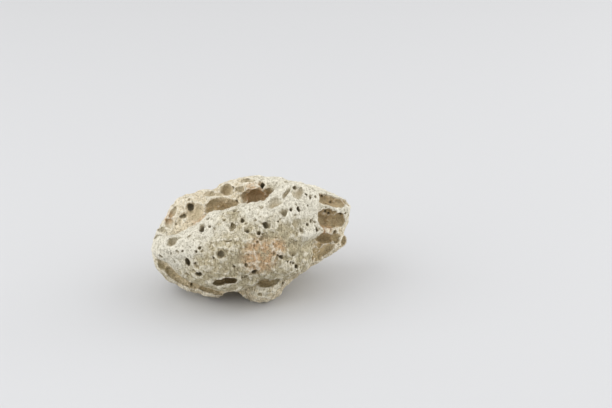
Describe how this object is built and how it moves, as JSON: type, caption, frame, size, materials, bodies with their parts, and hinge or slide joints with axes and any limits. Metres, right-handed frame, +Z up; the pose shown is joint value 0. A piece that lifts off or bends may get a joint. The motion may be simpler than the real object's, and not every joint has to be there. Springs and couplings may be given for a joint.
{
  "type": "pumice stone",
  "caption": "Rounded, frothy pale stone with a bulging front lobe, deep open bowls behind its crest and pores of every size.",
  "frame": {"origin": "centre of the stone's box, on the level it rests on", "axes": "+X along the stone's longest way, -Y out of its lobed front, +Z up"},
  "size_m": [0.0818, 0.0558, 0.0498],
  "materials": {
    "pumice": "rough, matt, cream with tan bubble walls"
  },
  "bodies": {
    "root": {"pumice_stone": "pumice"}
  },
  "joints": []
}
